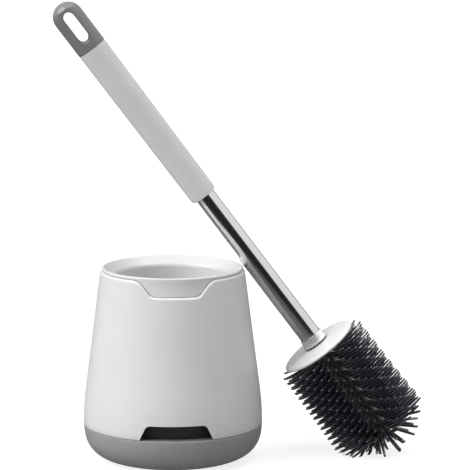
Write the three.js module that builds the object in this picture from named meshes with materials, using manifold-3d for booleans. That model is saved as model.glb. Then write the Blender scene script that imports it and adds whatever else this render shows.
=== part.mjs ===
// Toilet brush set: a holder that lifts apart, and the brush that leans on its rim.
// Millimetres, +Z up, front towards -Y. The origin is the middle of the holder's underside.
// The brush is modelled upright in its own frame, with its rod along +Z and the splash disk's
// top at zero, and one group then leans it on the rim with its bristles on the floor.
import * as THREE from 'three';
import { mergeVertices } from 'three/addons/utils/BufferGeometryUtils.js';
import Module from 'manifold-3d';

const wasm = await Module();
wasm.setup();

// ---------- driving dimensions ----------

const gap = 0.3; // between pieces that touch
const slideGap = 0.5; // around pieces that lift or slide past each other

const holder = {
  radius: 67.5, // widest, just above the seam
  rimRadius: 54.3,
  rimHeight: 143.8,
  seamHeight: 27,
  footRadius: 34.2, // where the rounded bottom corner starts
  cornerHeight: 29.7,
  cornerPower: 2.7,
  bendHeight: 23, // the upright wall turns into the taper over this height
  wall: 2.4,
  segments: 48,
};
const vent = { bottomWidth: 55, topWidth: 44, height: 11.5, corner: 3 };
const tab = { shoulderWidth: 56.4, flatWidth: 35, depth: 11.5, corner: 3.5 };
const cup = {
  crestInset: 2.7, // from the shell's rim radius
  crestRise: 2.9,
  flangeRound: 1.6,
  recess: 1, // the flange and its tab lie this far inside the shell's face
  neckInset: 10.9,
  neckDrop: 5,
  draft: 3.4, // the floor is this much smaller than the neck
  floorHeight: 31,
  wall: 1.8,
  drainHoles: 6,
  drainRadius: 3,
  drainInset: 16,
};
const base = {
  wall: 2.2, floor: 3, ledgeWidth: 9.7, ledgeThickness: 2.4, underside: 0.6,
  lugs: 4, lugWidth: 12, lugHeight: 4, lugThickness: 1.6,
};
const tray = { wall: 1.6, rise: 15, cornerWidth: 11.3, cornerHeight: 8 };
const pad = { inset: 4.2, thickness: 2 };

const lean = THREE.MathUtils.degToRad(36.7); // rod from upright
const swing = THREE.MathUtils.degToRad(2.6); // the rod's plane about the holder's axis
const restGap = 0.7; // rod to rim

const rod = { radius: 8.25, wall: 0.7, foot: 1.3, topShort: 1.7, segments: 28 };
const window = { length: 62, underGrip: 7, halfAngle: THREE.MathUtils.degToRad(68) };
const collar = { height: 6.5, topWall: 0.4, footWall: 1.7 };
const washer = { thickness: 0.7, width: 5.1 };
const plug = { length: 24, studRadius: 4, studLength: 24 };
const grip = {
  foot: 143.2, // above the splash disk
  length: 138.7,
  wall: 0.95, // over the rod, front and back
  footSide: 2, // over the rod at each side
  topSide: 2.85,
  round: 1.6,
  power: 2.7,
};
const cap = { length: 40, overhang: 0.1, holeLength: 26.8, holeWidth: 8.2, holeToEnd: 7.3, endSteps: 7 };
const spigot = { length: 8, tongueLength: 20, ringDown: 4.2 };
const ring = { section: 0.6, squeeze: 0.25 };
const arm = {
  lip: 7, // from the window's end up to the tip
  halfAngle: THREE.MathUtils.degToRad(62),
  thickness: 3.5,
  tongueGap: 0.4,
  teeth: 6,
  toothPitch: 2.4,
  toothDepth: 0.7,
};
const rivet = { radius: 1.2, down: 10, holeGap: 0.35 };
const sheath = {
  below: 9, // past the window's end
  above: 5.7, // short of the tongue's end
  proud: 0.2,
};

const disk = { radius: 30.7, thickness: 4.2, dome: 1.6 };
const head = { length: 79.3, bristleRadius: 36.3, endReach: 106.8 };
const core = { radius: 10, length: 78.8, boreGap: 0.4 };
const sleeve = { wall: 2.7, endWall: 5 };
const bristle = {
  rings: 10, perRing: 12, rootRadius: 1.5, tipRadius: 0.8, firstRing: 5, sweep: THREE.MathUtils.degToRad(6),
  endRows: [[0, 1], [28, 5], [52, 8], [74, 11]], // degrees from the axis, number of bristles
};

// ---------- solids ----------

function solid(geometry) {
  const bare = geometry.index ? geometry.toNonIndexed() : geometry.clone();
  bare.deleteAttribute('normal');
  bare.deleteAttribute('uv');
  const merged = mergeVertices(bare, 1e-4);
  const vertices = merged.attributes.position.array;
  const corner = (i) => new THREE.Vector3().fromArray(vertices, 3 * i);
  const triangles = [];
  let volume = 0;
  for (let i = 0; i < merged.index.count; i += 3) {
    const [a, b, c] = merged.index.array.slice(i, i + 3);
    if (a === b || b === c || c === a) continue;
    triangles.push(a, b, c);
    volume += corner(a).dot(corner(b).cross(corner(c)));
  }
  if (volume < 0) triangles.reverse();
  return new wasm.Manifold(new wasm.Mesh({
    numProp: 3,
    vertProperties: new Float32Array(vertices),
    triVerts: new Uint32Array(triangles),
  }));
}

function geometryOf(body) {
  const { vertProperties, triVerts } = body.getMesh();
  const geometry = new THREE.BufferGeometry();
  geometry.setAttribute('position', new THREE.BufferAttribute(vertProperties, 3));
  geometry.setIndex(new THREE.BufferAttribute(triVerts, 1));
  const faceted = geometry.toNonIndexed();
  faceted.computeVertexNormals();
  return faceted;
}

// A turned piece from [radius, height] points: they start and end on the axis, or close.
function turned(points, segments = holder.segments, closed = false) {
  const profile = points.map(([r, z]) => new THREE.Vector2(r, z));
  if (closed) profile.push(profile[0].clone());
  return solid(new THREE.LatheGeometry(profile, segments).rotateX(Math.PI / 2));
}

function solidRod(radius, from, to, segments = rod.segments) {
  return turned([[0, from], [radius, from], [radius, to], [0, to]], segments);
}

function hollowRod(inner, outer, from, to, segments = rod.segments) {
  return turned([[inner, from], [outer, from], [outer, to], [inner, to]], segments, true);
}

// A shape drawn in the X-Z plane, made thick along Y between two places.
function plateXZ(shape, fromY, toY, curveSegments = 8) {
  const plate = new THREE.ExtrudeGeometry(shape, { depth: toY - fromY, bevelEnabled: false, curveSegments });
  return solid(plate.rotateX(Math.PI / 2).translate(0, toY, 0));
}

// A shape drawn in the Y-Z plane, made thick along X between two places.
function plateYZ(shape, fromX, toX, curveSegments = 8) {
  const plate = new THREE.ExtrudeGeometry(shape, { depth: toX - fromX, bevelEnabled: false, curveSegments });
  return solid(plate.rotateX(Math.PI / 2).rotateZ(Math.PI / 2).translate(fromX, 0, 0));
}

function block(x0, x1, y0, y1, z0, z1) {
  const box = new THREE.BoxGeometry(x1 - x0, y1 - y0, z1 - z0);
  return solid(box.translate((x0 + x1) / 2, (y0 + y1) / 2, (z0 + z1) / 2));
}

function joined(bodies) {
  return bodies.reduce((whole, body) => whole.add(body));
}

// ---------- materials and nodes ----------

const finishes = {
  white: { color: '#e9e9ea', roughness: 0.38, metalness: 0 },
  grey: { color: '#8d9092', roughness: 0.5, metalness: 0 },
  dark: { color: '#1b1c1f', roughness: 0.6, metalness: 0 },
  rubber: { color: '#2a2b2e', roughness: 0.85, metalness: 0 },
  steel: { color: '#b9bbbd', roughness: 0.22, metalness: 1 },
  gripGrey: { color: '#c3c4c7', roughness: 0.55, metalness: 0 },
  capGrey: { color: '#85868a', roughness: 0.42, metalness: 0 },
  bristle: { color: '#151722', roughness: 0.5, metalness: 0 },
};

function node(parent, name, body, finish) {
  const mesh = new THREE.Mesh(geometryOf(body), new THREE.MeshStandardMaterial(finishes[finish]));
  mesh.name = name;
  parent.add(mesh);
}

// ---------- holder ----------

// Outer radius of the holder at a height: rounded corner, upright band, then a straight taper.
function holderRadius(z) {
  if (z <= holder.cornerHeight) {
    const drop = (holder.cornerHeight - z) / holder.cornerHeight;
    const out = (1 - drop ** holder.cornerPower) ** (1 / holder.cornerPower);
    return holder.footRadius + (holder.radius - holder.footRadius) * out;
  }
  const rise = z - holder.cornerHeight;
  const straight = holder.rimHeight - holder.cornerHeight - holder.bendHeight;
  const slope = (holder.radius - holder.rimRadius) / (holder.bendHeight / 2 + straight);
  const bent = Math.min(rise, holder.bendHeight);
  return holder.radius - slope * (bent ** 2 / (2 * holder.bendHeight) + rise - bent);
}

function holderSide(from, to, steps, inset = 0) {
  const points = [];
  for (let i = 0; i <= steps; i += 1) {
    const z = from + ((to - from) * i) / steps;
    points.push([holderRadius(z) - inset, z]);
  }
  return points;
}

// The notch in the rim, and with a clearance the tab that fills it.
function tabShape(clearance, top) {
  const half = tab.flatWidth / 2 - clearance / 2;
  const shoulder = tab.shoulderWidth / 2 - clearance;
  const low = holder.rimHeight - tab.depth + clearance;
  const rim = holder.rimHeight + Math.min(clearance, gap);
  const shape = new THREE.Shape();
  shape.moveTo(shoulder + tab.corner, top);
  shape.lineTo(-shoulder - tab.corner, top);
  shape.lineTo(-shoulder - tab.corner, rim);
  shape.quadraticCurveTo(-shoulder, rim, -shoulder + tab.corner, rim - tab.corner);
  shape.lineTo(-half - tab.corner / 2, low + tab.corner / 2);
  shape.quadraticCurveTo(-half, low, -half + tab.corner, low);
  shape.lineTo(half - tab.corner, low);
  shape.quadraticCurveTo(half, low, half + tab.corner / 2, low + tab.corner / 2);
  shape.lineTo(shoulder - tab.corner, rim - tab.corner);
  shape.quadraticCurveTo(shoulder, rim, shoulder + tab.corner, rim);
  return shape;
}

function ventShape() {
  const low = holder.seamHeight - 5;
  const high = holder.seamHeight + vent.height;
  const sideSlope = (vent.bottomWidth - vent.topWidth) / 2 / vent.height;
  const half = (z) => vent.bottomWidth / 2 - sideSlope * (z - holder.seamHeight);
  const shape = new THREE.Shape();
  shape.moveTo(-half(low), low);
  shape.lineTo(half(low), low);
  shape.lineTo(half(high - vent.corner), high - vent.corner);
  shape.quadraticCurveTo(half(high), high, half(high) - vent.corner, high);
  shape.lineTo(-half(high) + vent.corner, high);
  shape.quadraticCurveTo(-half(high), high, -half(high - vent.corner), high - vent.corner);
  return shape;
}

function outerShell() {
  const foot = holder.seamHeight + gap;
  const outside = holderSide(foot, holder.rimHeight, 7);
  const inside = holderSide(foot, holder.rimHeight, 7, holder.wall).reverse();
  const wall = turned([...outside, ...inside], holder.segments, true);
  const notch = plateXZ(tabShape(0, holder.rimHeight + 5), -holder.radius - 5, 0);
  const slot = plateXZ(ventShape(), -holder.radius - 5, 0);
  return wall.subtract(notch).subtract(slot);
}

const crestHeight = holder.rimHeight + cup.crestRise;
const crestRadius = holder.rimRadius - cup.crestInset;
const flangeUnderside = holder.rimHeight + gap;
const flangeRadius = holder.rimRadius - cup.recess;

function innerCup() {
  const neck = holder.rimHeight - cup.neckDrop;
  const neckRadius = holder.rimRadius - cup.neckInset;
  const floorRadius = neckRadius - cup.draft;
  const floorTop = cup.floorHeight + cup.wall;
  const bowl = turned([
    [0, floorTop],
    [floorRadius - 3, floorTop],
    [floorRadius, floorTop + 3],
    [neckRadius, neck],
    [neckRadius + 2.4, neck + 4.6],
    [crestRadius - 2.6, crestHeight - 0.9],
    [crestRadius, crestHeight],
    [flangeRadius - 0.7, crestHeight - 0.9],
    [flangeRadius, flangeUnderside + 0.7],
    [flangeRadius - 0.2, flangeUnderside],
    [crestRadius - 1.4, flangeUnderside],
    [neckRadius + cup.wall + 1.5, neck + 2],
    [neckRadius + cup.wall, neck - 2],
    [floorRadius + cup.wall, floorTop + 2],
    [floorRadius - 2, cup.floorHeight],
    [0, cup.floorHeight],
  ]);
  const [bandFoot, bandTop] = [holder.rimHeight - tab.depth - 2, flangeUnderside + 0.5];
  const band = holderSide(bandFoot, bandTop, 2, cup.recess);
  const bandInside = holderSide(bandFoot, bandTop, 2, holder.wall).reverse();
  const skirt = turned([...band, ...bandInside], holder.segments, true);
  const liftingTab = skirt.intersect(plateXZ(tabShape(slideGap, flangeUnderside + 0.4), -holder.radius, 0));
  let body = bowl.add(liftingTab);
  for (let i = 0; i < cup.drainHoles; i += 1) {
    const turn = (i / cup.drainHoles) * 2 * Math.PI;
    const hole = solidRod(cup.drainRadius, cup.floorHeight - 2, floorTop + 2, 12);
    const out = floorRadius - cup.drainInset;
    body = body.subtract(hole.translate(out * Math.cos(turn), out * Math.sin(turn), 0));
  }
  return body;
}

const padRadius = holder.footRadius - pad.inset;

function antiSlipPad() {
  return turned([[0, 0], [padRadius, 0], [padRadius, pad.thickness], [0, pad.thickness]], 32);
}

function baseTray() {
  const ledgeInside = holder.radius - base.ledgeWidth;
  const ledgeUnder = holder.seamHeight - base.ledgeThickness;
  const recess = padRadius + slideGap;
  const outside = [0, 0.06, 0.16, 0.32, 0.52, 0.75, 1].map((share) => {
    const z = base.underside + share * (holder.seamHeight - base.underside);
    return [holderRadius(z), z];
  });
  const floorTop = base.underside + base.floor + 1;
  const inside = holderSide(floorTop + 0.6, ledgeUnder, 5, base.wall).reverse();
  const body = turned([
    [0, pad.thickness + gap],
    [recess, pad.thickness + gap],
    [recess, base.underside],
    ...outside,
    [ledgeInside, holder.seamHeight],
    [ledgeInside, ledgeUnder],
    ...inside,
    [inside.at(-1)[0] - 4, floorTop],
    [0, floorTop],
  ]);
  const lugOutside = holderRadius(holder.seamHeight) - holder.wall - slideGap;
  const lugs = [];
  for (let i = 0; i < base.lugs; i += 1) {
    const lug = block(
      lugOutside - base.lugThickness - 1, lugOutside - 1, -base.lugWidth / 2, base.lugWidth / 2,
      holder.seamHeight - 1, holder.seamHeight + base.lugHeight,
    );
    lugs.push(lug.rotate([0, 0, 45 + (i * 360) / base.lugs]));
  }
  return joined([body, ...lugs]);
}

function dripTray() {
  const outer = holder.radius - base.ledgeWidth - slideGap;
  const foot = base.underside + base.floor + 1 + gap;
  const top = holder.seamHeight + tray.rise;
  const [width, height] = [tray.cornerWidth, tray.cornerHeight];
  return turned([
    [0, foot], [outer - width, foot], [outer - width * 0.27, foot + height * 0.37], [outer, foot + height],
    [outer, top], [outer - tray.wall, top],
    [outer - tray.wall, foot + height + 1], [outer - width * 0.27 - tray.wall, foot + height * 0.37 + 1],
    [outer - width - tray.wall, foot + tray.wall], [0, foot + tray.wall],
  ]);
}

// ---------- brush: rod, handle and tweezers ----------

function roundEndShape(halfWidth, low, high) {
  const shape = new THREE.Shape();
  shape.moveTo(halfWidth, high);
  shape.lineTo(-halfWidth, high);
  shape.lineTo(-halfWidth, low + halfWidth);
  shape.absarc(0, low + halfWidth, halfWidth, Math.PI, 2 * Math.PI, false);
  return shape;
}

const boreRadius = rod.radius - rod.wall;
const gripDepth = 2 * (rod.radius + gap + grip.wall);
const gripTop = grip.foot + grip.length;
const capFoot = gripTop + gap;
const rodTop = gripTop - rod.topShort;
const windowHalf = rod.radius * Math.sin(window.halfAngle);
const windowEnd = grip.foot - window.length;
const windowTop = grip.foot + window.underGrip;
const armRadius = boreRadius - gap - 0.1;
const armHalfWidth = armRadius * Math.sin(arm.halfAngle);
const armInnerFace = armRadius - arm.thickness;
const armTip = windowEnd + arm.lip;
const armRoot = capFoot - spigot.length - gap;
const tongueEnd = capFoot - spigot.length - spigot.tongueLength;
const rivetHeight = armRoot - rivet.down;

function rodTube() {
  const opening = plateYZ(roundEndShape(windowHalf, windowEnd, windowTop), -rod.radius - 2, 0);
  return hollowRod(boreRadius, rod.radius, rod.foot, rodTop).subtract(opening);
}

// Liner that holds the tweezers: solid at its foot, then two prongs beside the arms, with a
// raised frame that fills the rod's window around the arm.
function tweezerSheath() {
  const side = rod.radius + 3;
  const round = solidRod(boreRadius - gap, windowEnd - sheath.below, tongueEnd - sheath.above);
  const frameShape = roundEndShape(windowHalf - gap, windowEnd + gap, grip.foot - gap);
  const proud = solidRod(rod.radius + sheath.proud, windowEnd - 1, grip.foot);
  const frame = proud.intersect(plateYZ(frameShape, -side, -boreRadius * 0.3));
  const channel = plateYZ(roundEndShape(armHalfWidth + gap, armTip - 1.3, rodTop), -side, side);
  return round.add(frame).subtract(channel);
}

function oval(body, depth, power) {
  return body.warp((point) => {
    const width = Math.hypot(point[0], point[1]);
    if (width < 1e-6) return;
    const half = Math.min(depth / 2, width);
    const [cosine, sine] = [Math.abs(point[0]) / width, Math.abs(point[1]) / width];
    const reach = ((cosine / width) ** power + (sine / half) ** power) ** (-1 / power);
    point[0] *= reach / width;
    point[1] *= reach / width;
  });
}

function gripSleeve() {
  const [footHalf, topHalf] = [rod.radius + grip.footSide + gap, rod.radius + grip.topSide + gap];
  const body = turned([
    [0, grip.foot],
    [footHalf - grip.round, grip.foot],
    [footHalf - grip.round * 0.3, grip.foot + grip.round * 0.5],
    [footHalf, grip.foot + grip.round * 1.6],
    [topHalf, gripTop],
    [0, gripTop],
  ], 36);
  return oval(body, gripDepth, grip.power).subtract(solidRod(rod.radius + gap, grip.foot - 1, gripTop + 1));
}

const capHalf = rod.radius + grip.topSide + gap + cap.overhang;

function hangingHole() {
  const half = cap.holeWidth / 2;
  const high = capFoot + cap.length - cap.holeToEnd - half;
  const outline = new THREE.Shape();
  outline.absarc(0, high, half, 0, Math.PI, false);
  outline.absarc(0, high - cap.holeLength + cap.holeWidth, half, Math.PI, 2 * Math.PI, false);
  return plateXZ(outline, -gripDepth, gripDepth, 10);
}

const ringMiddle = boreRadius - ring.squeeze - ring.section;
const ringHeight = capFoot - spigot.ringDown;

function endCap() {
  const middle = capFoot + cap.length - capHalf;
  const profile = [[0, capFoot], [capHalf, capFoot]];
  for (let i = 0; i < cap.endSteps; i += 1) {
    const turn = ((i / cap.endSteps) * Math.PI) / 2;
    profile.push([capHalf * Math.cos(turn), middle + capHalf * Math.sin(turn)]);
  }
  profile.push([0, middle + capHalf]);
  const body = oval(turned(profile, 36), gripDepth, grip.power).subtract(hangingHole());
  const bottom = capFoot - spigot.length;
  const stem = solidRod(boreRadius - gap, bottom, capFoot + 1);
  const tongueHalf = armInnerFace - arm.tongueGap;
  const tongue = block(-tongueHalf, tongueHalf, -armHalfWidth, armHalfWidth, tongueEnd, bottom + 1);
  const grooveHalf = ring.section + gap;
  const groove = hollowRod(
    ringMiddle - grooveHalf, boreRadius + 1, ringHeight - grooveHalf, ringHeight + grooveHalf,
  );
  return joined([body, stem, tongue]).subtract(groove).subtract(rivetSpace());
}

function alongX(radius, halfLength) {
  const cylinder = new THREE.CylinderGeometry(radius, radius, 2 * halfLength, 14).rotateZ(Math.PI / 2);
  return solid(cylinder.translate(0, 0, rivetHeight));
}

function rivetSpace() {
  return alongX(rivet.radius + rivet.holeGap, boreRadius + 2);
}

function retainingRing() {
  const section = [];
  for (let i = 0; i < 6; i += 1) {
    const turn = (i / 6) * 2 * Math.PI;
    section.push([ringMiddle + ring.section * Math.cos(turn), ringHeight + ring.section * Math.sin(turn)]);
  }
  return turned(section, 20, true);
}

// side is -1 for the arm seen through the window and 1 for the other.
function tweezerArm(side) {
  const full = solidRod(armRadius, armTip, armRoot);
  const outline = plateYZ(roundEndShape(armHalfWidth, armTip, armRoot), armInnerFace, armRadius + 1);
  let body = full.intersect(outline);
  for (let i = 0; i < arm.teeth; i += 1) {
    const low = armTip + 2 + i * arm.toothPitch;
    const groove = new THREE.Shape();
    groove.moveTo(armInnerFace - 1, low - 0.4);
    groove.lineTo(armInnerFace + arm.toothDepth, low + arm.toothPitch / 3);
    groove.lineTo(armInnerFace - 1, low + (arm.toothPitch * 2) / 3 + 0.4);
    body = body.subtract(plateXZ(groove, -armRadius, armRadius));
  }
  body = body.subtract(rivetSpace());
  return side > 0 ? body : body.mirror([1, 0, 0]);
}

function rodCollar() {
  const [inner, foot] = [rod.radius + gap, rod.foot];
  const outer = rod.radius + collar.footWall;
  return turned([
    [inner, foot], [outer, foot], [outer, foot + 1], [outer - 0.6, foot + 2.2],
    [inner + collar.topWall, foot + collar.height], [inner, foot + collar.height],
  ], rod.segments, true);
}

function sealWasher() {
  return hollowRod(studBore, studBore + washer.width, gap, gap + washer.thickness);
}

function threadedPlug() {
  return turned([
    [0, -plug.studLength], [plug.studRadius, -plug.studLength], [plug.studRadius, rod.foot],
    [boreRadius - gap, rod.foot], [boreRadius - gap, rod.foot + plug.length], [0, rod.foot + plug.length],
  ], rod.segments);
}

// ---------- brush: head ----------

const studBore = plug.studRadius + core.boreGap;
const headTop = -disk.thickness - gap;

function splashDisk() {
  const rim = disk.radius;
  return turned([
    [studBore, 0], [rod.radius + collar.footWall + 1, 0], [rim - 8, -disk.dome * 0.5],
    [rim - 1.2, -disk.dome], [rim, -disk.dome - 1.1],
    [rim - 0.9, -disk.thickness + 0.4], [rim - 3, -disk.thickness], [studBore, -disk.thickness],
  ], 40, true);
}

function headCore() {
  const low = headTop - core.length;
  const bore = solidRod(studBore, -plug.studLength - 2, 1);
  return solidRod(core.radius, low, headTop).subtract(bore);
}

function spike(length) {
  return new THREE.CylinderGeometry(bristle.tipRadius, bristle.rootRadius, length, 3)
    .translate(0, length / 2, 0).rotateZ(-Math.PI / 2);
}

function bristleSleeve(floorSlab) {
  const inner = core.radius + gap;
  const outer = inner + sleeve.wall;
  const low = headTop - core.length - gap;
  const end = low - sleeve.endWall;
  const bodies = [turned([[0, headTop], [outer, headTop], [outer, low], [outer - 4, end + 1], [0, end]], 24)];
  const rootRadius = outer - 1;
  const reach = head.bristleRadius;
  const firstTip = headTop - bristle.firstRing;
  const pitch = (head.length + firstTip) / (bristle.rings - 1);
  const drop = (reach - rootRadius) * Math.tan(bristle.sweep);
  for (let i = 0; i < bristle.rings; i += 1) {
    const rootHeight = firstTip - i * pitch - drop;
    const tipHeight = firstTip - i * pitch;
    const angle = Math.atan2(tipHeight - rootHeight, reach - rootRadius);
    for (let j = 0; j < bristle.perRing; j += 1) {
      const turn = ((j + i / 3) / bristle.perRing) * 2 * Math.PI;
      const shape = spike(Math.hypot(reach - rootRadius, tipHeight - rootHeight));
      shape.rotateY(-angle).translate(rootRadius, 0, rootHeight).rotateZ(turn);
      bodies.push(solid(shape));
    }
  }
  const middle = low + 6;
  for (const [degrees, count] of bristle.endRows) {
    const polar = THREE.MathUtils.degToRad(degrees);
    const tip = [reach * Math.sin(polar), middle - (head.endReach + middle) * Math.cos(polar)];
    const root = [(outer - 1) * Math.sin(polar), middle - (middle - low + 2) * Math.cos(polar)];
    const angle = Math.atan2(tip[1] - root[1], tip[0] - root[0]);
    for (let j = 0; j < count; j += 1) {
      const shape = spike(Math.hypot(tip[0] - root[0], tip[1] - root[1]));
      shape.rotateY(-angle).translate(root[0], 0, root[1]).rotateZ(((j + 0.5) / count) * 2 * Math.PI);
      bodies.push(solid(shape));
    }
  }
  const coreSpace = solidRod(inner, low, headTop + 1, 24);
  return wasm.Manifold.union(bodies).subtract(coreSpace).subtract(floorSlab);
}

// ---------- assembly ----------

// Where the splash disk's top comes to rest: the rod clears the rim's crest by restGap in the
// upright plane through the holder's axis, and the corner of the bristles stands on the floor.
function brushSeat() {
  const height = head.length * Math.cos(lean) + head.bristleRadius * Math.sin(lean);
  const crest = [crestRadius, crestHeight - cup.flangeRound];
  const away = rod.radius + cup.flangeRound + restGap;
  const offset = crest[0] * Math.cos(lean) + crest[1] * Math.sin(lean) + away;
  const out = (offset - height * Math.sin(lean)) / Math.cos(lean);
  return new THREE.Vector3(out * Math.cos(swing), out * Math.sin(swing), height);
}

const object = new THREE.Group();
node(object, 'base_tray', baseTray(), 'grey');
node(object, 'drip_tray', dripTray(), 'dark');
node(object, 'anti_slip_pad', antiSlipPad(), 'rubber');
node(object, 'outer_shell', outerShell(), 'white');
node(object, 'inner_cup', innerCup(), 'white');

const brush = new THREE.Group();
brush.position.copy(brushSeat());
brush.rotation.set(0, -lean, swing, 'ZYX');
brush.updateMatrixWorld();
object.add(brush);

const floorGeometry = new THREE.BoxGeometry(500, 500, 80).translate(100, 0, -40);
const floorSlab = solid(floorGeometry.applyMatrix4(brush.matrixWorld.clone().invert()));

node(brush, 'rod_tube', rodTube(), 'steel');
node(brush, 'tweezer_sheath', tweezerSheath(), 'white');
node(brush, 'grip_sleeve', gripSleeve(), 'gripGrey');
node(brush, 'rod_collar', rodCollar(), 'steel');
node(brush, 'threaded_plug', threadedPlug(), 'dark');
node(brush, 'seal_washer', sealWasher(), 'rubber');
node(brush, 'end_cap', endCap(), 'capGrey');
node(brush, 'arm_rivet', alongX(rivet.radius, boreRadius - 1), 'steel');
node(brush, 'retaining_ring', retainingRing(), 'rubber');
node(brush, 'tweezer_arm_left', tweezerArm(-1), 'capGrey');
node(brush, 'tweezer_arm_right', tweezerArm(1), 'capGrey');
node(brush, 'splash_disk', splashDisk(), 'white');
node(brush, 'head_core', headCore(), 'dark');
node(brush, 'bristle_sleeve', bristleSleeve(floorSlab), 'bristle');

export default object;
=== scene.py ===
import math

import bpy
from mathutils import Matrix, Vector


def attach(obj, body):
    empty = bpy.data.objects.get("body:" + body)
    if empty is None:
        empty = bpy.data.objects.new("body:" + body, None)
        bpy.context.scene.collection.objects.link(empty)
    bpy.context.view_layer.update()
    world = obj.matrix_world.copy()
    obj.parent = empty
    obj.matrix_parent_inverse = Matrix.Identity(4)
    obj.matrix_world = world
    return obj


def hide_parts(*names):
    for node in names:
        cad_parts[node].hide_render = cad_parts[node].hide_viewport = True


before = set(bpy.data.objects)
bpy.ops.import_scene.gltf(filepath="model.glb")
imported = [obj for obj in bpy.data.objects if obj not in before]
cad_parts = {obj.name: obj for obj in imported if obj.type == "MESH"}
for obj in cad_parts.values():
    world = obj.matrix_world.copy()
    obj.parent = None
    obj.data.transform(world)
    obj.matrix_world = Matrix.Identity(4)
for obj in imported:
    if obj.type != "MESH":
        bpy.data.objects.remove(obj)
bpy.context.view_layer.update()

# Sizes in millimetres, as the CAD has them. The holder stands upright about Z with its front
# towards -Y. The brush is made upright with its rod along Z and the splash disk's top at zero,
# then leaned on the rim.
MM = 0.001
GAP = 0.3
MERGE = 0.002  # points closer than this are one point

RIM_HEIGHT = 143.8
RIM_RADIUS = 54.3
SEAM_HEIGHT = 27.0
FOOT_RADIUS = 34.2
WIDEST_RADIUS = 67.5
CORNER_HEIGHT = 29.7
CORNER_POWER = 2.7
BEND_HEIGHT = 23.0
SHELL_WALL = 2.4
NOTCH_SHOULDER, NOTCH_FLAT, NOTCH_DEPTH, NOTCH_CORNER = 28.2, 17.5, 11.5, 3.5
NOTCH_FADE = 26.0  # how far down the shell's face follows the notch
FRONT_REACH = 54.9  # the notch is measured across at this radius
VENT_HEIGHT = 11.5
VENT_FOOT_HALF, VENT_TOP_HALF = 27.5, 22.0
FLANGE_RADIUS = 53.27
LINING_RADIUS = 51.9
CUP_FLOOR, CUP_UNDERSIDE = 32.8, 31.0
TRAY_RADIUS, TRAY_RIM_HEIGHT = 57.3, 42.0
PAD_RADIUS, PAD_TOP = 30.0, 2.0
HOLDER_SIDES = 320

GRIP_FOOT, GRIP_LENGTH = 143.2, 138.7
GRIP_TOP = GRIP_FOOT + GRIP_LENGTH
ROD_RADIUS = 8.25
BORE_RADIUS = ROD_RADIUS - 0.7
ROD_FOOT, ROD_TOP = 1.3, GRIP_TOP - 1.7
HANDLE_DEPTH = 19.0
HANDLE_POWER = 2.2
CAP_FOOT = GRIP_TOP + GAP
CAP_END = CAP_FOOT + 40
CAP_HALF_WIDTH = 11.5
HOLE_HALF_WIDTH, HOLE_LENGTH, HOLE_FROM_END = 4.1, 26.8, 7.3
WINDOW_HALF_WIDTH = ROD_RADIUS * math.sin(math.radians(68))
WINDOW_END, WINDOW_TOP = GRIP_FOOT - 62, GRIP_FOOT + 7
ARM_RADIUS = BORE_RADIUS - 0.4
ARM_HALF_WIDTH = ARM_RADIUS * math.sin(math.radians(66))
ARM_INNER_FACE = ARM_RADIUS - 3.5
ARM_TIP, ARM_ROOT = WINDOW_END + 7, CAP_FOOT - 8.3
TOOTH_COUNT, TOOTH_PITCH = 6, 2.4
RIVET_HEIGHT = ARM_ROOT - 10
RIVET_SPACE_RADIUS = 1.55

DISK_RADIUS = 30.7
DISK_THICKNESS = 4.2
HEAD_TOP = -4.5
CORE_LENGTH = 78.8
SLEEVE_RADIUS = 13.0
END_REACH = 106.8
BRISTLE_RINGS, BRISTLES_PER_RING, RING_PITCH = 24, 16, 3.26
END_BRISTLE_REACH = 37.5
# Rings of bristles on the head's end: degrees from its middle, how many, share of a step turned.
END_RINGS = [(76, 12, 0.0), (62, 11, 0.5), (46, 9, 0.2), (30, 6, 0.6), (12, 3, 0.3)]

LEAN = math.radians(36.7)
SWING = math.radians(2.6)
SEAT = Vector((109.238, 4.960, 85.275)) * MM
ON_RIM = (Matrix.Translation(SEAT) @ Matrix.Rotation(SWING, 4, "Z")
          @ Matrix.Rotation(-LEAN, 4, "Y"))


# ---------- outlines ----------

def holder_radius(z):
    """Outside of the holder at a height: rounded corner, upright band, then a straight taper."""
    if z <= CORNER_HEIGHT:
        drop = (CORNER_HEIGHT - z) / CORNER_HEIGHT
        out = (1 - drop ** CORNER_POWER) ** (1 / CORNER_POWER)
        return FOOT_RADIUS + (WIDEST_RADIUS - FOOT_RADIUS) * out
    rise = z - CORNER_HEIGHT
    straight = RIM_HEIGHT - CORNER_HEIGHT - BEND_HEIGHT
    slope = (WIDEST_RADIUS - RIM_RADIUS) / (BEND_HEIGHT / 2 + straight)
    bent = min(rise, BEND_HEIGHT)
    return WIDEST_RADIUS - slope * (bent ** 2 / (2 * BEND_HEIGHT) + rise - bent)


def spread(start, end, steps):
    """Even steps from one value to another, with both ends."""
    return [start + (end - start) * i / steps for i in range(steps + 1)]


def rounded(corners, steps=5):
    """An outline of (a, b, radius) corners with each corner that has a radius turned to a curve."""
    outline = []
    for i, (a, b, radius) in enumerate(corners):
        here = Vector((a, b))
        if radius == 0:
            outline.append((a, b))
            continue
        before = Vector(corners[i - 1][:2]) - here
        after = Vector(corners[(i + 1) % len(corners)][:2]) - here
        reach = min(radius, before.length * 0.49, after.length * 0.49)
        start = here + before.normalized() * reach
        end = here + after.normalized() * reach
        for k in range(steps + 1):
            t = k / steps
            outline.append(tuple(start * (1 - t) ** 2 + here * 2 * t * (1 - t) + end * t * t))
    return outline


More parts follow.
